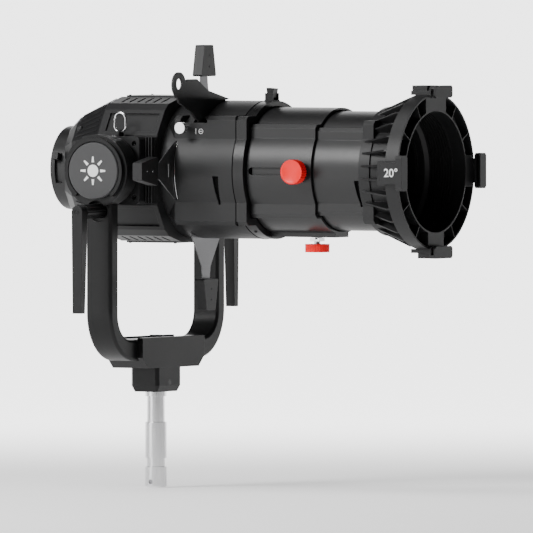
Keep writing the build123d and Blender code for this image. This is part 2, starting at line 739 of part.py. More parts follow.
def hood_base():
    """The hood's neck: a collar, a straight tube and flaring ribs behind the ring."""
    collar = along_y(barrel(84, 72, 67), INNER_FRONT, -368)
    neck = along_y(Circle(NECK_OUTSIDE_R), -368, HOOD_RING_REAR)
    body = collar + neck
    rib = outline_of((80, -356), (84, -356), (HOOD_R - 0.5, -397), (HOOD_R - 0.5, HOOD_RING_REAR),
                  (80, HOOD_RING_REAR))
    for index in range(RIB_COUNT):
        turn = 360 / RIB_COUNT * (index + 0.5)
        body += Rot(0, turn, 0) * (Pos(0, 0, -RIB_THICK / 2) * extrude(rib, amount=RIB_THICK))
    bore = [(0, -350), (INNER_BORE_R, -350), (INNER_BORE_R, -362), (HOOD_MOUTH_R, -366), (HOOD_MOUTH_R, -402),
            (0, -402)]
    return body - spun(bore)


def hood_ring():
    """The front ring with open pockets between thin ribs and four solid lands."""
    ring = along_y(Circle(HOOD_R) - Circle(HOOD_MOUTH_R), HOOD_RING_REAR, HOOD_RING_FRONT)
    depth = 13.0
    pocket_ring = along_y(Circle(98.8) - Circle(80.7), HOOD_RING_FRONT + depth, HOOD_RING_FRONT)
    walls = block(-26, 26, -430, -400, 60, 110) + block(-20.5, 20.5, -430, -400, -110, -60)
    walls += block(60, 110, -430, -400, -20.5, 20.5) + block(-110, -60, -430, -400, -20.5, 20.5)
    for quarter in range(4):
        for angle in (32, 60):
            walls += Rot(0, 90 * quarter + angle, 0) * block(70, 105, -430, -400, -0.6, 0.6)
    return ring - (pocket_ring - walls)


def holder_foot(boss_front):
    """The plate of an accessory holder that lies on the hood's ring, with a raised boss."""
    foot = block(-16, 16, -423, -392, 95, 105)
    foot += block(-14, 14, boss_front, boss_front + 22, 104, 112)
    return foot - along_y(Circle(HOOD_R), -390, HOOD_RING_FRONT) - along_y(Circle(99), -419, -424)


def holder_flange(hinged):
    """The front of a holder, with a channel for a colour frame or a hood."""
    rear = -423.3 if hinged else -423.0
    flange = block(-23, 23, HOLDER_FRONT, rear, 96, 112)
    flange = chamfer(flange.edges().filter_by(Axis.Y), 3)
    return flange - block(-24, 24, CHANNEL_FRONT, CHANNEL_REAR, 90, 107.5)


def accessory_holder(turn):
    """One of the three fixed holders."""
    return Rot(0, turn, 0) * (holder_foot(-423.0) + holder_flange(False))


def frame_latch():
    """The hinged front of the top holder, with its knuckle."""
    pivot = Pos(HINGE_Y, HINGE_Z)
    knuckle = along_x(pivot * Circle(2.8), -8, 8)
    latch = holder_flange(True) + block(-8, 8, -424, HINGE_Y, 105.4, 110.6) + knuckle
    return latch - along_x(pivot * Circle(HINGE_PIN_R + RUNNING_GAP), -30, 30)


def latch_foot():
    """The top holder's foot, with two ears for the hinged front."""
    foot = holder_foot(-414.8)
    pivot = Pos(HINGE_Y, HINGE_Z)
    for side in (-1, 1):
        foot += along_x(pivot * Circle(2.6), side * 8.3, side * 14)
        foot += block(side * 8.3, side * 14, -422.9, -417, 104, 106.5)
    foot -= along_x(pivot * Circle(3.2), -8.3, 8.3)
    return foot - along_x(pivot * Circle(HINGE_PIN_R), -30, 30)


def frame_latch_pin():
    """The pin of the hinged holder."""
    return along_x(Pos(HINGE_Y, HINGE_Z) * Circle(HINGE_PIN_R), -14, 14)


def pair(make):
    """The near and far copies of a piece that both sides share."""
    return make(-1) + make(1)


def write_yoke():
    """The pieces that stay with the stand, and the two levers."""
    write("yoke_frame", yoke_frame())
    write("yoke_bridge", yoke_bridge())
    write("spigot_receiver", spigot_receiver())
    write("spigot_grub_screws", grub_screws())
    write("stand_spigot", spigot())
    write("yoke_bolt", yoke_bolt())
    write("arm_covers", pair(arm_cover))
    write("arm_caps", pair(arm_cap))
    write("arm_bushes", pair(arm_bush))
    write("friction_washers", pair(friction_washer))
    write("lever_studs", pair(lever_stud))
    for side, name in ((-1, "near"), (1, "far")):
        write(f"lever_hub_{name}", lever_hub(side))
        write(f"lever_bar_{name}", lever_bar(side))


def write_head():
    """The condenser housing, gate, shutters and fixed lens tube."""
    write("condenser_housing", condenser_housing())
    write("vent_plates", vent_plate(1) + vent_plate(-1))
    write("side_plates", pair(side_plate))
    write("plate_screws", plate_screws())
    write("tilt_axles", pair(tilt_axle) + pair(axle_retainer))
    write("fin_blocks", pair(fin_block))
    write("rear_collar", rear_collar())
    write("lamp_lock", lamp_lock())
    write("condenser_cell", condenser_cell())
    write("condenser_lenses", lens(76, 50, 46.9, 9) + lens(26, 0, 46.9, 9))
    write("lifting_ring", lifting_ring())
    write("ring_eye", ring_eye())
    write("gate_housing", gate_housing())
    write("gate_plates", gate_plate(-67) + gate_plate(-84.5))
    write("gate_posts", gate_posts())
    write("pattern_guide", pattern_guide())
    write("pattern_holder", pattern_holder())
    write("pattern_lock_knob", pattern_lock_knob())
    write("holder_screw", holder_screw())
    for name, turn, y in SHUTTERS:
        pushed = TOP_PUSHED_IN if name == "top" else 0
        write(f"shutter_blade_{name}", shutter_blade(turn, y, pushed))
        write(f"shutter_grip_{name}", shutter_grip(turn, y, pushed))
    write("clamp_ring", clamp_ring())
    write("latch_base", latch_base() + latch_pin())
    write("lens_latch", lens_latch())
    write("outer_tube", outer_tube())
    write("focus_rail", focus_rail())
    write("lock_stud", lock_stud())
    write("lock_knob", lock_knob())


def write_lens_tube():
    """The focusing tube with its lenses, knob, hood and holders."""
    write("inner_tube", inner_tube())
    write("focus_stud", focus_stud())
    write("focus_knob", focus_knob())
    write("beam_lenses", lens(-196, -222, INNER_BORE_R, 10) + lens(-318, -344, INNER_BORE_R, 10))
    write("lens_rings", lens_ring(-190.5, -205.0, 70) + lens_ring(-335.0, -351, 70))
    write("hood_base", hood_base())
    write("hood_ring", hood_ring())
    write("holders", accessory_holder(90) + accessory_holder(180) + accessory_holder(-90))
    write("latch_foot", latch_foot() + frame_latch_pin())
    write("frame_latch", frame_latch())


write_yoke()
write_head()
write_lens_tube()
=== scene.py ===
import json
import math

import bmesh
import bpy
from mathutils import Matrix, Vector


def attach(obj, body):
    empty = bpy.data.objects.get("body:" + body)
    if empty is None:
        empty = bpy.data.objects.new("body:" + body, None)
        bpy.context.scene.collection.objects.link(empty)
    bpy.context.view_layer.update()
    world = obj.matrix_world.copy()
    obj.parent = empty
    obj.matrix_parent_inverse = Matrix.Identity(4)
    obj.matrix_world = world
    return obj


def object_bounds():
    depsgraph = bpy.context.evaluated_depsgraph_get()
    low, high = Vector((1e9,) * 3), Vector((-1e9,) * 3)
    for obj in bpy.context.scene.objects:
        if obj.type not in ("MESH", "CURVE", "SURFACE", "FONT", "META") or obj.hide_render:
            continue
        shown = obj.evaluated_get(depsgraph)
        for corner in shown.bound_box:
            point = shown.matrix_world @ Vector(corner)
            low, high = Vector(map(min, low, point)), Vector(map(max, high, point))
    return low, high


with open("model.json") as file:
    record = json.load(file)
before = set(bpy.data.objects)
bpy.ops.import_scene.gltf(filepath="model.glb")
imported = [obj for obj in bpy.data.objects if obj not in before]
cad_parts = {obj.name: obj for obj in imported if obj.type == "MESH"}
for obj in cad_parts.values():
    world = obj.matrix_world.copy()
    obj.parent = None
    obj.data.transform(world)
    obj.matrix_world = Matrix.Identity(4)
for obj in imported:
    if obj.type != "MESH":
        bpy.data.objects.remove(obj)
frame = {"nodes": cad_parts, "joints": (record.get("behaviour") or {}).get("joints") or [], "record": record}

cad_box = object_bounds()

# ------------------------------------------------------------ places taken from the frame

MM = 0.001
hinges = {joint["name"]: joint for joint in frame["joints"]}
TILT = Vector(hinges["head_tilt"]["pos_m"])
SIDES = (-1, 1)

# Sizes of the spotlight in millimetres; depths are along the optical axis, from the tilt axis.
GATE_R = 90.0
GATE_HALF_X = 80.0
GATE_HALF_Z = 71.0
GATE_FRONT = -167.0
CLAMP_MIDDLE = -175.0
OUTER_R = 82.4
OUTER_HALF_X = 70.4
OUTER_HALF_Z = 61.4
OUTER_REAR = -183.6
OUTER_FRONT = -280.4
INNER_SEAM_R = 78.6
INNER_SEAM_HALF_X = 66.9
INNER_SEAM_HALF_Z = 57.9
HOOD_BORE_R = 78.3
HOOD_BAFFLES_FROM = -370.0
HOOD_BAFFLE_PITCH = 4.0
TUBE_BORE_R = 73.2
TUBE_BAFFLES_FROM = -226.0
TUBE_BAFFLE_PITCH = 6.0
CAP_FACE_X = 162.0
BLADE_PLANES = {"top": -72.2, "bottom": -75.4, "near": -78.6, "far": -81.8}
SLOT_HALF = 1.9
SLOT_HALF_HEIGHT = 37.0
GRIP_REACH = 143.0
GRIP_DEPTH = 7.05
GRIP_SCREWS = (13.0, 27.0)
TOP_PUSHED_IN = 22.0
VENT_PLATE_Z = 96.0


def spot(x, y, z):
    """A place given in millimetres from the tilt axis, in the frame's metres."""
    return Vector((x * MM, y * MM, TILT.z + z * MM))


# ------------------------------------------------------------ shader expressions

class Term:
    """A shader value that can be written into sums, products and smooth steps."""

    def __init__(self, finish, socket):
        self.finish = finish
        self.socket = socket

    def _math(self, operation, first, second):
        return self.finish.node("Math", {"operation": operation}, {0: first, 1: second})

    def __add__(self, other):
        return self._math("ADD", self, other)

    def __radd__(self, other):
        return self._math("ADD", other, self)

    def __sub__(self, other):
        return self._math("SUBTRACT", self, other)

    def __rsub__(self, other):
        return self._math("SUBTRACT", other, self)

    def __mul__(self, other):
        return self._math("MULTIPLY", self, other)

    def __rmul__(self, other):
        return self._math("MULTIPLY", other, self)

    def between(self, low, high):
        """0 below the low limit, 1 above the high one, and a smooth step between them."""
        settings = {"interpolation_type": "SMOOTHSTEP", "clamp": True}
        return self.finish.node("MapRange", settings, {0: self, 1: low, 2: high, 3: 0.0, 4: 1.0})


class Finish:
    """One material: its nodes, and the few links that every finish has."""

    def __init__(self, name):
        self.material = bpy.data.materials.new(name)
        self.material.use_nodes = True
        self.tree = self.material.node_tree
        self.shader = self.tree.nodes["Principled BSDF"]
        self.place = self.node("TexCoord", {}, {}, "Object")

    def node(self, kind, settings, inputs, output=0):
        """Any shader node, with its settings first and then its sockets."""
        made = self.tree.nodes.new("ShaderNode" + kind)
        for name, value in settings.items():
            setattr(made, name, value)
        for name, value in inputs.items():
            if isinstance(value, Term):
                self.tree.links.new(value.socket, made.inputs[name])
            else:
                made.inputs[name].default_value = value
        return Term(self, made.outputs[output])

    def noise(self, scale, detail=3.0, stretch=None):
        """Noise on the object's own place; stretch squeezes it along an axis, for grain."""
        place = self.place
        if stretch:
            place = self.node("Mapping", {}, {"Vector": place, "Scale": stretch})
        return self.node("TexNoise", {}, {"Vector": place, "Scale": scale, "Detail": detail}, "Fac")

    def mix(self, share, low, high):
        """One colour turning into another."""
        settings = {"data_type": "RGBA"}
        return self.node("Mix", settings, {"Factor": share, 6: rgba(low), 7: rgba(high)}, 2)

    def rounded(self, radius):
        """The surface normal with sharp edges slightly rounded."""
        return self.node("Bevel", {"samples": 4}, {"Radius": radius}, "Normal")

    def edge_wear_and_highlight(self, soft):
        """1 on a sharp edge, where the rounded normal leaves the flat one, and 0 on a flat; it marks rubbed
        paint and a painted edge highlight.
        """
        flat = self.node("NewGeometry", {}, {}, "Normal")
        cosine = self.node("VectorMath", {"operation": "DOT_PRODUCT"}, {0: soft, 1: flat}, "Value")
        return (1.0 - cosine).between(0.01, 0.14)

    def bump(self, height, distance, strength, normal):
        """Fine relief laid over a normal."""
        inputs = {"Height": height, "Distance": distance, "Strength": strength, "Normal": normal}
        return self.node("Bump", {}, inputs, "Normal")

    def feed(self, **sockets):
        """Links or sets the main shader's sockets, named with underscores."""
        for name, value in sockets.items():
            socket = self.shader.inputs[name.replace("_", " ")]
            if isinstance(value, Term):
                self.tree.links.new(value.socket, socket)
            else:
                socket.default_value = value
        return self.material


def rgba(colour):
    """A colour with its alpha, or a link left as it is."""
    return colour if isinstance(colour, Term) else (*colour, 1.0)


def black(level, blue=0.0):
    """A neutral dark colour with a trace of blue."""
    return (level, level, level + blue)


def rubbed_and_lit(colour):
    """The lighter tone of a coat on an edge: rubbed paint, and also a painted edge highlight."""
    return tuple(3.0 * c + 0.012 for c in colour)


# ------------------------------------------------------------ finishes

def coated_metal(name, dark, light, grain, rough, shine=0.32):
    """Satin black coat: fine grain, faint mottling, soft edges a little lighter, as rubbed paint and as a
    painted edge highlight.
    """
    f = Finish(name)
    fine = f.noise(grain, 2.0)
    broad = f.noise(14.0, 4.0)
    soft = f.rounded(0.0006)
    worn_and_lit_edge = f.edge_wear_and_highlight(soft)
    scuff = f.noise(160.0, 5.0).between(0.45, 0.7)
    colour = f.mix(broad, dark, light)
    # Lighter edges: rubbed paint, and also a painted edge highlight.
    colour = f.mix(worn_and_lit_edge * (0.25 + 0.45 * scuff), colour, rubbed_and_lit(light))
    roughness = rough + 0.10 * (broad - 0.5) + 0.06 * fine - 0.08 * worn_and_lit_edge
    return f.feed(Base_Color=colour, Roughness=roughness, Metallic=0.0, Specular_IOR_Level=shine,
                  Normal=f.bump(fine, 0.00006, 0.55, soft))


def anodised(name, dark, light, rough):
    """Satin anodised tube with a faint turned grain round it."""
    f = Finish(name)
    broad = f.noise(11.0, 4.0)
    turned = f.noise(60.0, 3.0, (1.0, 28.0, 1.0))
    soft = f.rounded(0.0005)
    worn_and_lit_edge = f.edge_wear_and_highlight(soft)
    colour = f.mix(broad, dark, light)
    # Lighter edges: rubbed paint, and also a painted edge highlight.
    colour = f.mix(worn_and_lit_edge * 0.5, colour, rubbed_and_lit(light))
    roughness = rough + 0.12 * (turned - 0.5) + 0.06 * (broad - 0.5)
    return f.feed(Base_Color=colour, Roughness=roughness, Metallic=0.0, Specular_IOR_Level=0.4,
                  Normal=f.bump(turned, 0.00003, 0.35, soft))


def moulded(name, dark, light, rough, coat=0.0, grain=1500.0, shine=0.35):
    """Moulded plastic with a fine spark-eroded grain."""
    f = Finish(name)
    fine = f.noise(grain, 2.0)
    broad = f.noise(30.0, 3.0)
    soft = f.rounded(0.0007)
    worn_and_lit_edge = f.edge_wear_and_highlight(soft)
    colour = f.mix(broad, dark, light)
    # Lighter edges: rubbed paint, and also a painted edge highlight.
    colour = f.mix(worn_and_lit_edge * 0.35, colour, tuple(min(1.0, 1.6 * c + 0.03) for c in light))
    roughness = rough + 0.10 * (fine - 0.5) + 0.08 * (broad - 0.5)
    return f.feed(Base_Color=colour, Roughness=roughness, Coat_Weight=coat, Coat_Roughness=0.15,
                  Specular_IOR_Level=shine, Normal=f.bump(fine, 0.00005, 0.5, soft))


def bright_metal(name, colour, rough, stretch):
    """Plated or brushed steel with fine scratches along one way."""
    f = Finish(name)
    scratch = f.noise(90.0, 4.0, stretch)
    broad = f.noise(25.0, 3.0)
    soft = f.rounded(0.0004)
    dull = tuple(0.72 * c for c in colour)
    tint = f.mix(scratch * 0.5 + broad * 0.3, colour, dull)
    roughness = rough + 0.16 * (scratch - 0.5) + 0.08 * broad
    return f.feed(Base_Color=tint, Metallic=1.0, Roughness=roughness,
                  Normal=f.bump(scratch, 0.00002, 0.3, soft))


def clear_glass(name):
    """Coated lens glass with a trace of dust."""
    f = Finish(name)
    dust = f.noise(420.0, 5.0).between(0.55, 0.8)
    haze = f.noise(35.0, 3.0)
    return f.feed(Base_Color=(0.86, 0.9, 0.92, 1.0), Transmission_Weight=1.0, IOR=1.5,
                  Roughness=0.09 + 0.04 * dust * haze)


FINISHES = {
    "cast_black": coated_metal("cast_black", black(0.0080, 0.0004), black(0.0125, 0.0005), 1300.0, 0.40),
    "frame_black": coated_metal(
        "frame_black", black(0.0035, 0.0002), black(0.0055, 0.0003), 1700.0, 0.34, 0.24),
    "cap_black": moulded("cap_black", black(0.040, 0.001), black(0.050, 0.001), 0.55),
    "tube_black": anodised("tube_black", black(0.0080, 0.0004), black(0.0120, 0.0004), 0.36),
    "hood_black": coated_metal("hood_black", black(0.0070, 0.0004), black(0.0110, 0.0005), 1300.0, 0.42),
    "grip_black": moulded("grip_black", black(0.0060, 0.0003), black(0.0100, 0.0004), 0.42),
    "lever_black": coated_metal(
        "lever_black", black(0.0040, 0.0002), black(0.0065, 0.0003), 1700.0, 0.32, 0.26),
    "red_plastic": moulded(
        "red_plastic", (0.90, 0.004, 0.006), (0.97, 0.008, 0.010), 0.38, 0.10, 900.0, 0.25),
    "bright_steel": bright_metal("bright_steel", (0.80, 0.80, 0.81), 0.12, (30.0, 30.0, 1.0)),
    "blade_steel": bright_metal("blade_steel", (0.20, 0.20, 0.205), 0.34, (1.0, 1.0, 24.0)),
    "dark_steel": coated_metal("dark_steel", black(0.0080, 0.0002), black(0.0140, 0.0004), 1900.0, 0.28),
    "bearing_plastic": moulded("bearing_plastic", black(0.0070), black(0.0100), 0.5),
    "bronze": bright_metal("bronze", (0.62, 0.42, 0.2), 0.35, (1.0, 20.0, 1.0)),
    "lens_glass": clear_glass("lens_glass"),
    "inner_black": moulded("inner_black", black(0.0030), black(0.0050), 0.7, shine=0.12),
    # Near-black of the seams, also used for the painted shade in the wedge recesses.
    "seam_and_shade_black": moulded("seam_and_shade_black", black(0.0025, 0.0001), black(0.0040, 0.0001), 0.85, shine=0.04),
    "clamp_black": coated_metal("clamp_black", black(0.0040, 0.0002), black(0.0070, 0.0003), 1500.0, 0.26),
    # White of the prints, also used for the painted highlight on the near shutter blade.
    "print_and_glint_white": moulded("print_and_glint_white", (0.80, 0.80, 0.80), (0.90, 0.90, 0.90), 0.5),
}

for part in frame["record"]["subparts"]:
    cad_object = frame["nodes"][part["node"]]
    cad_object.data.materials.clear()
    finish = "clamp_black" if part["node"] == "clamp_ring" else part["material_slot"]
    cad_object.data.materials.append(FINISHES[finish])


# ------------------------------------------------------------ small pieces

def finished(name, mesh, body, slot=None, material=None):
    """A finished mesh as a piece of its own that moves with a body."""
    data = bpy.data.meshes.new(name)
    bmesh.ops.recalc_face_normals(mesh, faces=mesh.faces)
    mesh.to_mesh(data)
    mesh.free()
    piece = bpy.data.objects.new(name, data)
    bpy.context.scene.collection.objects.link(piece)
    data.materials.append(FINISHES[material or slot])
    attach(piece, body)


def wired(name, body, kind, vertices, edges, values, slot=None, material=None, facings=None):
    """Runs a geometry tree on a wire of points and keeps the result as a plain piece."""
    data = bpy.data.meshes.new(name)
    data.from_pydata(vertices, edges, [])
    if facings:
        attribute = data.attributes.new("facing", "FLOAT_VECTOR", "POINT")
        attribute.data.foreach_set("vector", [c for facing in facings for c in facing])
    source = bpy.data.objects.new(name + "_wire", data)
    bpy.context.scene.collection.objects.link(source)
    modifier = source.modifiers.new("shape", "NODES")
    modifier.node_group = kind
    sockets = {item.name: item.identifier for item in kind.interface.items_tree}
    for label, value in values.items():
        modifier[sockets[label]] = value
    modifier[sockets["Finish"]] = FINISHES[material or slot]
    shaped = source.evaluated_get(bpy.context.evaluated_depsgraph_get())
    plain = bpy.data.meshes.new_from_object(shaped)
    plain.name = name
    bpy.data.objects.remove(source)
    piece = bpy.data.objects.new(name, plain)
    bpy.context.scene.collection.objects.link(piece)
    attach(piece, body)


class Shape:
    """A geometry tree that takes a wire and gives back solid shapes in one finish."""

    def __init__(self, name, **sizes):
        self.tree = bpy.data.node_groups.new(name, "GeometryNodeTree")
        face = self.tree.interface
        face.new_socket("Geometry", in_out="INPUT", socket_type="NodeSocketGeometry")
        for label, value in sizes.items():
            size = face.new_socket(label, in_out="INPUT", socket_type="NodeSocketFloat")
            size.default_value = value
        face.new_socket("Finish", in_out="INPUT", socket_type="NodeSocketMaterial")
        face.new_socket("Geometry", in_out="OUTPUT", socket_type="NodeSocketGeometry")
        self.given = self.tree.nodes.new("NodeGroupInput").outputs

    def step(self, kind, settings, inputs, output=0):
        """Any geometry node, with its settings first and then its sockets."""
        made = self.tree.nodes.new(kind)
        for name, value in settings.items():
            setattr(made, name, value)
        for name, value in inputs.items():
            if isinstance(value, bpy.types.NodeSocket):
                self.tree.links.new(value, made.inputs[name])
            else:
                made.inputs[name].default_value = value
        return made.outputs[output]

    def extrude(self, inputs):
        """The mesh with its faces pulled out, and the faces on top."""
        mesh = self.step("GeometryNodeExtrudeMesh", {}, inputs, "Mesh")
        return mesh, mesh.node.outputs["Top"]

    def close(self, solid):
        """Realizes what was made and gives it its finish."""
        real = self.step("GeometryNodeRealizeInstances", {}, {"Geometry": solid})
        real = self.step("GeometryNodeSetMaterial", {}, {"Geometry": real, "Material": self.given["Finish"]})
        last = self.tree.nodes.new("NodeGroupOutput")
        self.tree.links.new(real, last.inputs[0])
        return self.tree


def bead_tree():
    """Round beads along every line of the wire."""
    tree = Shape("beads", Radius=0.0005)
    path = tree.step("GeometryNodeMeshToCurve", {}, {"Mesh": tree.given["Geometry"]})
    rim = tree.step("GeometryNodeCurvePrimitiveCircle", {}, {"Resolution": 8, "Radius": tree.given["Radius"]})
    inputs = {"Curve": path, "Profile Curve": rim, "Fill Caps": True}
    solid = tree.step("GeometryNodeCurveToMesh", {}, inputs)
    return tree.close(tree.step("GeometryNodeSetShadeSmooth", {}, {0: solid}))


def screw_tree():
    """A socket screw on every point of the wire, with its head along the point's facing."""
    tree = Shape("screws", Radius=0.0014, Height=0.0008, Socket=0.55)
    inputs = {"Vertices": 12, "Radius": tree.given["Radius"]}
    disc = tree.step("GeometryNodeMeshCircle", {"fill_type": "NGON"}, inputs)
    up = tree.step("ShaderNodeCombineXYZ", {}, {"Z": tree.given["Height"]})
    head, top = tree.extrude({"Mesh": disc, "Offset": up, "Offset Scale": 1.0})
    inset, rim = tree.extrude({"Mesh": head, "Selection": top, "Offset Scale": 0.0})
    inputs = {"Geometry": inset, "Selection": rim, "Scale": tree.given["Socket"]}
    narrow = tree.step("GeometryNodeScaleElements", {}, inputs)
    down = tree.step("ShaderNodeVectorMath", {"operation": "SCALE"}, {0: up, "Scale": -0.7})
    inputs = {"Mesh": narrow, "Selection": rim, "Offset": down, "Offset Scale": 1.0}
    sunk, _ = tree.extrude(inputs)
    facing = tree.step("GeometryNodeInputNamedAttribute", {"data_type": "FLOAT_VECTOR"}, {"Name": "facing"})
    turn = tree.step("FunctionNodeAlignRotationToVector", {"axis": "Z"}, {"Vector": facing})
    points = tree.step("GeometryNodeMeshToPoints", {}, {"Mesh": tree.given["Geometry"]})
    inputs = {"Points": points, "Instance": sunk, "Rotation": turn}
    return tree.close(tree.step("GeometryNodeInstanceOnPoints", {}, inputs))


BEADS = bead_tree()
SCREWS = screw_tree()


def beads(name, body, lines, radius, slot=None, material=None):
    """Round beads along open or closed lines of places."""
    vertices = []
    edges = []
    for line, closed in lines:
        start = len(vertices)
        vertices.extend(line)
        edges.extend((start + i, start + i + 1) for i in range(len(line) - 1))
        if closed:
            edges.append((len(vertices) - 1, start))
    wired(name, body, BEADS, vertices, edges, {"Radius": radius * MM}, slot, material)


def screws(name, body, seats, facings, radius, height, slot):
    """Socket screws with their undersides on the given seats."""
    sizes = {"Radius": radius * MM, "Height": height * MM}
    wired(name, body, SCREWS, seats, [], sizes, slot, facings=facings)


def barrel_line(radius, half_x, half_z, y, proud=0.0):
    """A closed line round a round shell with a box shell through it."""
    line = []
    for step in range(180):
        angle = math.radians(2 * step + 1)
        across, up = math.cos(angle), math.sin(angle)
        box_reach = min(half_x / abs(across), half_z / abs(up))
        reach = max(radius, box_reach) + proud
        line.append(spot(reach * across, y, reach * up))
    return line, True


def ring_line(radius, y):
    """A closed circle about the optical axis."""
    turns = [math.radians(3 * step) for step in range(120)]
    return [spot(radius * math.cos(t), y, radius * math.sin(t)) for t in turns], True


# ------------------------------------------------------------ seams, baffles and louvres

gate_seam = barrel_line(GATE_R, GATE_HALF_X, GATE_HALF_Z, GATE_FRONT, -0.35)
outer_seam = barrel_line(OUTER_R, OUTER_HALF_X, OUTER_HALF_Z, OUTER_REAR)
inner_seam = barrel_line(INNER_SEAM_R, INNER_SEAM_HALF_X, INNER_SEAM_HALF_Z, OUTER_FRONT)
hood_rings = [ring_line(HOOD_BORE_R, HOOD_BAFFLES_FROM - HOOD_BAFFLE_PITCH * i) for i in range(8)]
tube_rings = [ring_line(TUBE_BORE_R, TUBE_BAFFLES_FROM - TUBE_BAFFLE_PITCH * i) for i in range(15)]
beads("tube_seams", "head", [gate_seam, outer_seam], 0.9, material="seam_and_shade_black")
beads("inner_seam", "head", [inner_seam], 0.7, material="seam_and_shade_black")
beads("hood_baffles", "lens_tube", hood_rings, 0.55, material="inner_black")
beads("tube_baffles", "lens_tube", tube_rings, 0.8, material="inner_black")


def slot_rim(sign, y):
    """The bright lip of a shutter slot, round the housing's side."""
    heights = [-SLOT_HALF_HEIGHT + SLOT_HALF_HEIGHT / 12 * i for i in range(25)]
    return [spot(sign * (math.sqrt(GATE_R ** 2 - z * z) + 0.1), y, z) for z in heights], False


lips = []
for sign, side in ((-1, "near"), (1, "far")):
    for edge in (-SLOT_HALF, SLOT_HALF):
        lips.append(slot_rim(sign, BLADE_PLANES[side] + edge))
beads("slot_rims", "head", lips, 0.4, slot="bright_steel")


def louvre_lines():
    """Straight ribs down the slanting rear facets of the condenser housing."""
    ribs = 13
    proud = 0.15
    corners = ((40.0, 92.5), (66.0, 86.0), (76.0, 78.0), (92.0, 52.4))
    lines = []
    for sign_x in SIDES:
        for sign_z in SIDES:
            for index in range(ribs):
                share = index / (ribs - 1) * (len(corners) - 1)
                side = min(int(share), len(corners) - 2)
                share -= side
                (x, z), (next_x, next_z) = corners[side:side + 2]
                x = x * (1 - share) + next_x * share
                z = z * (1 - share) + next_z * share
                ends = []
                for y, scale in ((36.0, 0.988), (78.0, 0.801)):
                    ends.append(spot(sign_x * (x * scale + proud), y, sign_z * (z * scale + proud)))
                lines.append((ends, False))
    return lines


beads("condenser_louvres", "head", louvre_lines(), 0.55, slot="cast_black")

# ------------------------------------------------------------ screws

def grip_screws(side, sign_x, sign_z, pushed_in, finish):
    """Two small socket screws in the front face of a shutter's grip."""
    reach = GRIP_REACH - pushed_in
    y = BLADE_PLANES[side] - GRIP_DEPTH
    seats = [spot(sign_x * (reach + d), y, sign_z * (reach + d)) for d in GRIP_SCREWS]
    screws("grip_screws_" + side, "shutter_" + side, seats, [(0, -1, 0)] * 2, 1.4, 0.8, slot=finish)


grip_screws("top", 0, 1, TOP_PUSHED_IN, "dark_steel")
grip_screws("bottom", 0, -1, 0.0, "dark_steel")
grip_screws("near", -1, 0, 0.0, "bright_steel")
grip_screws("far", 1, 0, 0.0, "bright_steel")

vent_seats = [spot(x, y, z * VENT_PLATE_Z) for z in SIDES for x in (-28.5, 28.5) for y in (-46.0, 22.0)]
vent_facings = [(0, 0, z) for z in SIDES for _ in range(4)]
screws("vent_screws", "head", vent_seats, vent_facings, 1.6, 0.9, slot="dark_steel")

clamp_turns = [math.radians(degrees) for degrees in (62, 118, 242, 298)]
clamp_facings = [(math.cos(t), 0, math.sin(t)) for t in clamp_turns]
clamp_reach = GATE_R - 0.2
clamp_seats = [spot(clamp_reach * x, CLAMP_MIDDLE, clamp_reach * z) for x, _, z in clamp_facings]
screws("clamp_screws", "head", clamp_seats, clamp_facings, 2.2, 1.2, slot="dark_steel")

# ------------------------------------------------------------ white marks and a painted highlight

def flat_mark(name, body, outlines, surface, depth):
    """Flat white marks, prints and a painted highlight, laid on a surface that faces along X; outlines are in
    Y and Z.
    """
    mesh = bmesh.new()
    for outline in outlines:
        rings = []
        for x in (surface, surface + depth):
            rings.append([mesh.verts.new(spot(x, y, z)) for y, z in outline])
        count = len(outline)
        for i in range(count):
            j = (i + 1) % count
            mesh.faces.new((rings[0][i], rings[0][j], rings[1][j], rings[1][i]))
        mesh.faces.new(rings[0])
        mesh.faces.new(list(reversed(rings[1])))
    finished(name, mesh, body, material="print_and_glint_white")


def disc(y, z, radius, sides=32):
    """The outline of a disc."""
    turns = [2 * math.pi * i / sides for i in range(sides)]
    return [(y + radius * math.cos(t), z + radius * math.sin(t)) for t in turns]


def lamp_emblem():
    """A plain lamp sign: a disc with eight short rays."""
    rays = 8
    outlines = [disc(0, 0, 8.0)]
    for index in range(rays):
        turn = 2 * math.pi * index / rays
        along = (math.cos(turn), math.sin(turn))
        across = (-along[1], along[0])
        corners = ((11.0, -1.9), (18.5, -1.1), (18.5, 1.1), (11.0, 1.9))
        outlines.append([(r * along[0] + s * across[0], r * along[1] + s * across[1]) for r, s in corners])
    return outlines


def ring_pieces(y, z, outer_r, inner_r):
    """A flat ring as short four-sided pieces."""
    outer = disc(y, z, outer_r)
    inner = disc(y, z, inner_r)
    following = [(index, (index + 1) % len(outer)) for index in range(len(outer))]
    return [[outer[i], outer[j], inner[j], inner[i]] for i, j in following]


flat_mark("near_emblem", "yoke", lamp_emblem(), -CAP_FACE_X, -0.15)
flat_mark("far_emblem", "yoke", lamp_emblem(), CAP_FACE_X, 0.15)

line_mark = [(-106.6, 47.4), (-107.3, 47.4), (-107.3, 54.6), (-106.6, 54.6)]
cross = [(-112.4, 50.65), (-112.4, 51.35), (-116.6, 51.35), (-116.6, 50.65)]
ring_mark = ring_pieces(-114.5, 51.0, 3.4, 2.7)
flat_mark("gate_mark", "head", [line_mark, cross] + ring_mark, -GATE_HALF_X, -0.12)
# Painted highlight: a thin white streak on the near shutter blade, painted where a bright glint shows on its
# edge.
blade_glint_line = [(-79.25, -8.5), (-79.25, 8.5), (-79.32, 8.5), (-79.32, -8.5)]
flat_mark("blade_painted_glint", "shutter_near", [blade_glint_line], -103.4, 0.9)


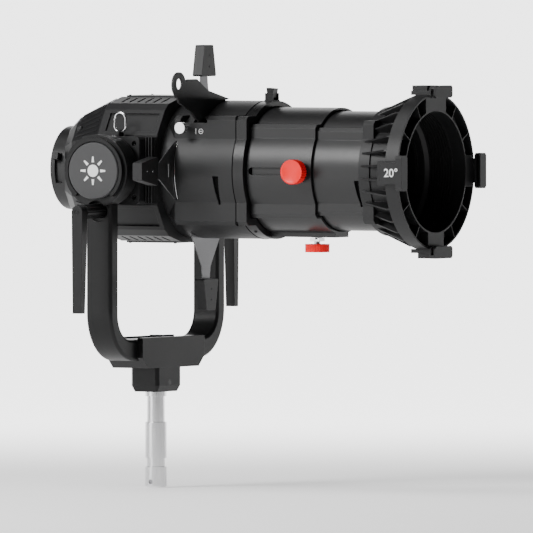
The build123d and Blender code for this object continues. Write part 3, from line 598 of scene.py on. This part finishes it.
def number_mark():
    """The beam angle on the near holder, as a flat raised number."""
    writing = bpy.data.curves.new("angle_number", "FONT")
    writing.body = "20\u00b0"
    writing.size = 0.0150
    writing.extrude = 0.0001
    writing.offset = 0.00022
    writing.align_x = "CENTER"
    writing.align_y = "CENTER"
    holder = bpy.data.objects.new("angle_text", writing)
    bpy.context.scene.collection.objects.link(holder)
    plain = bpy.data.meshes.new_from_object(holder.evaluated_get(bpy.context.evaluated_depsgraph_get()))
    bpy.data.objects.remove(holder)
    x, y, z = spot(-112.05, -416.5, 0.0)
    plain.transform(Matrix(((0, 0, -1, x), (-1, 0, 0, y), (0, 1, 0, z), (0, 0, 0, 1))))
    mesh = bmesh.new()
    mesh.from_mesh(plain)
    bmesh.ops.remove_doubles(mesh, verts=mesh.verts, dist=1e-6)
    finished("angle_number", mesh, "lens_tube", material="print_and_glint_white")


number_mark()

# ------------------------------------------------------------ painted shade: dark sheets on the floors of the wedge recesses

def recess_shade_sheet(name, body, top_edge, low_edge, heights, radius, half_x):
    """A thin dark sheet of painted shade on the floor of a wedge recess, on both sides; edges are rear and
    front.
    """
    mesh = bmesh.new()
    top, low = heights
    steps = 12
    for sign in SIDES:
        rows = []
        for step in range(steps + 1):
            share = step / steps
            z = top + (low - top) * share
            x = max(math.sqrt(radius ** 2 - z * z), half_x)
            edges = [high + (under - high) * share for high, under in zip(top_edge, low_edge)]
            row = [spot(sign * (x + lift), y, z) for y in edges for lift in (-0.1, 0.25)]
            rows.append([mesh.verts.new(place) for place in row])
        for high, under in zip(rows, rows[1:]):
            for a, b in ((0, 1), (1, 3), (3, 2), (2, 0)):
                mesh.faces.new((high[a], high[b], under[b], under[a]))
        for row in (rows[0], rows[-1]):
            mesh.faces.new((row[0], row[1], row[3], row[2]))
    finished(name, mesh, body, material="seam_and_shade_black")


# Painted shade: dark sheets laid on the recess floors, where the recesses lie in shade.
recess_shade_sheet("gate_recess_shade", "head", (-137.2, -145.8), (-141.1, -143.9), (-7.2, -43.8), 86.5, 76.5)
recess_shade_sheet("tube_recess_shade", "lens_tube", (-341.7, -349.8), (-345.6, -348.4), (-11.2, -44.8), 74.2, 62.5)

# ------------------------------------------------------------ the catch on the condenser housing

def rounded_block(mesh, centre, size, round_off):
    """A block with rounded edges, added to a mesh."""
    made = bmesh.ops.create_cube(mesh, size=1.0)["verts"]
    for vertex in made:
        vertex.co = centre + Vector(vertex.co[i] * size[i] * MM for i in range(3))
    edges = {edge for vertex in made for edge in vertex.link_edges}
    bmesh.ops.bevel(mesh, geom=list(edges), offset=round_off * MM, segments=3, profile=0.5, affect="EDGES")


catch = bmesh.new()
rounded_block(catch, spot(-66.0, 74.0, 52.0), (7.0, 9.0, 8.0), 2.0)
rounded_block(catch, spot(-70.0, 72.0, 54.0), (5.0, 5.0, 5.0), 1.6)
finished("housing_catch", catch, "head", slot="grip_black")


# ------------------------------------------------------------ floor, light and camera

CAMERA_TURN = math.radians(-60.0)
CAMERA_RISE = math.radians(1.5)
CAMERA_AWAY = 25.0
VIEW_WIDTH = 0.696
SENSOR = 36.0
AIM_RIGHT = 0.1444
AIM_BELOW_TILT = 0.128
OPEN_SIDE = Vector((math.sin(CAMERA_TURN), -math.cos(CAMERA_TURN), 0.0))
FLOOR_AHEAD = 3
FLOOR_BEHIND = 60
FLOOR_HALF_WIDTH = 12


class Air(Finish):
    """The soft light of the studio itself, drawn with the same nodes as a finish."""

    def __init__(self, name):
        self.material = bpy.data.worlds.new(name)
        self.material.use_nodes = True
        self.tree = self.material.node_tree
        self.shader = self.tree.nodes["Background"]
        self.place = self.node("TexCoord", {}, {}, "Generated")


def pale_floor():
    """A wide pale floor whose glow is painted light: dimmer round the spotlight, a painted shade about its
    base, and brighter far behind it.
    """
    across = Vector((-OPEN_SIDE.y, OPEN_SIDE.x, 0.0))
    level = Vector((0.0, 0.0, cad_box[0].z - 0.0005))
    ends = ((FLOOR_AHEAD, -1), (-FLOOR_BEHIND, -1), (-FLOOR_BEHIND, 1), (FLOOR_AHEAD, 1))
    corners = [level + OPEN_SIDE * away + across * side * FLOOR_HALF_WIDTH for away, side in ends]
    data = bpy.data.meshes.new("studio_floor")
    data.from_pydata(corners, [], [(0, 3, 2, 1)])
    floor = bpy.data.objects.new("studio_floor", data)
    bpy.context.scene.collection.objects.link(floor)
    pale = Finish("pale_paper")
    tone = pale.noise(3.0, 2.0)
    colour = pale.mix(tone, (0.88, 0.88, 0.88), (0.91, 0.91, 0.91))
    nearness = pale.node("VectorMath", {"operation": "DOT_PRODUCT"}, {0: pale.place, 1: OPEN_SIDE}, "Value")
    # Painted light: the floor's own glow, dimmed round the spotlight as painted shade about its base.
    glow = pale.mix(nearness.between(-2.6, -0.3), (1.0, 1.0, 1.0), (0.20, 0.20, 0.20))
    pale.feed(Base_Color=colour, Roughness=0.9, Emission_Color=glow, Emission_Strength=3.4)
    data.materials.append(pale.material)


def soft_light(name, place, aim, width, height, power):
    """A soft box that faces a point."""
    lamp = bpy.data.lights.new(name, "AREA")
    lamp.shape = "RECTANGLE"
    lamp.size = width
    lamp.size_y = height
    lamp.energy = power
    holder = bpy.data.objects.new(name, lamp)
    holder.location = place
    holder.rotation_mode = "QUATERNION"
    holder.rotation_quaternion = (Vector(aim) - Vector(place)).to_track_quat("-Z", "Y")
    bpy.context.scene.collection.objects.link(holder)


pale_floor()
middle = (0, -0.1, 0.35)
soft_light("left_box", (-2.6, 0.9, 1.9), middle, 1.2, 1.0, 95.0)
soft_light("side_box", (-2.6, 1.45, 0.35), middle, 1.3, 1.1, 13.0)
soft_light("top_box", (-0.6, 0.2, 2.4), middle, 1.6, 1.2, 26.0)

air = Air("studio_air")
rise = air.node("SeparateXYZ", {}, {0: air.place}, "Z")
ahead = air.node("VectorMath", {"operation": "DOT_PRODUCT"}, {0: air.place, 1: OPEN_SIDE}, "Value")
backdrop = (0.0 - ahead).between(0.80, 0.93) * (0.85 - rise).between(0.0, 0.3)
sky = air.mix(backdrop, (0.06, 0.06, 0.06), (2.6, 2.6, 2.6))
bpy.context.scene.world = air.feed(Color=sky, Strength=1.0)

right = Vector((math.cos(CAMERA_TURN), math.sin(CAMERA_TURN), 0.0))
back = OPEN_SIDE * math.cos(CAMERA_RISE) + Vector((0.0, 0.0, math.sin(CAMERA_RISE)))
target = Vector((0.0, 0.0, TILT.z - AIM_BELOW_TILT)) + right * AIM_RIGHT

camera_data = bpy.data.cameras.new("camera")
camera_data.sensor_width = SENSOR
camera_data.lens = SENSOR * CAMERA_AWAY / VIEW_WIDTH
camera_data.clip_end = 100.0
camera = bpy.data.objects.new("camera", camera_data)
camera.rotation_mode = "QUATERNION"
camera.rotation_quaternion = back.to_track_quat("Z", "Y")
camera.location = target + back * CAMERA_AWAY
bpy.context.scene.collection.objects.link(camera)
bpy.context.scene.camera = camera
